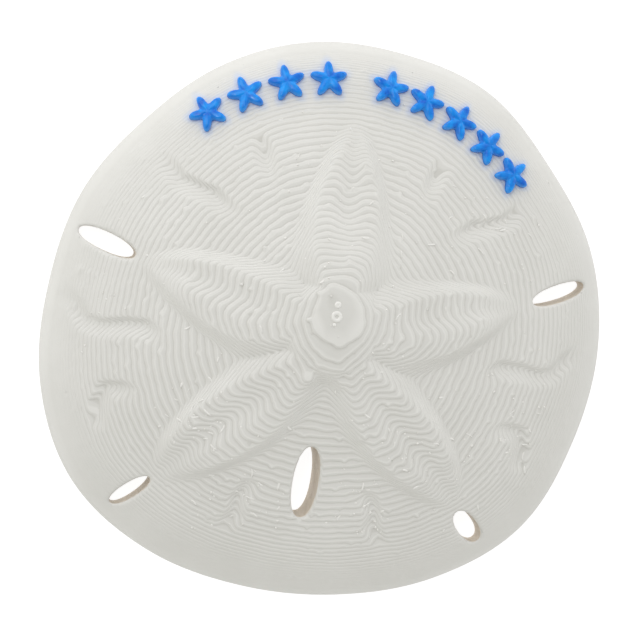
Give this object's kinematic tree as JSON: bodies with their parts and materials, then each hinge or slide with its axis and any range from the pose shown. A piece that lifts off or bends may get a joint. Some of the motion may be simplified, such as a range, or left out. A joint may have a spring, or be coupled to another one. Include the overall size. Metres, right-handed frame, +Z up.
{
  "type": "3d-printed sand dollar ornament",
  "caption": "Round low-domed sand dollar with raised star petals, branching grooves and through slots, a flat underside and small raised starfish along its front rim.",
  "frame": {"origin": "under the middle of the outline, on the plane of the flat underside", "axes": "+Z up out of the domed face, +Y towards the single front petal and the starfish, +X to the right"},
  "size_m": [0.1012, 0.0992, 0.0129],
  "materials": {
    "white_print_plastic": "off-white filament printed in fine layers",
    "blue_print_plastic": "glossy azure filament"
  },
  "bodies": {
    "root": {"disc": "white_print_plastic", "starfish_1": "blue_print_plastic", "starfish_2": "blue_print_plastic", "starfish_3": "blue_print_plastic", "starfish_4": "blue_print_plastic", "starfish_5": "blue_print_plastic", "starfish_6": "blue_print_plastic", "starfish_7": "blue_print_plastic", "starfish_8": "blue_print_plastic", "starfish_9": "blue_print_plastic"}
  },
  "joints": []
}
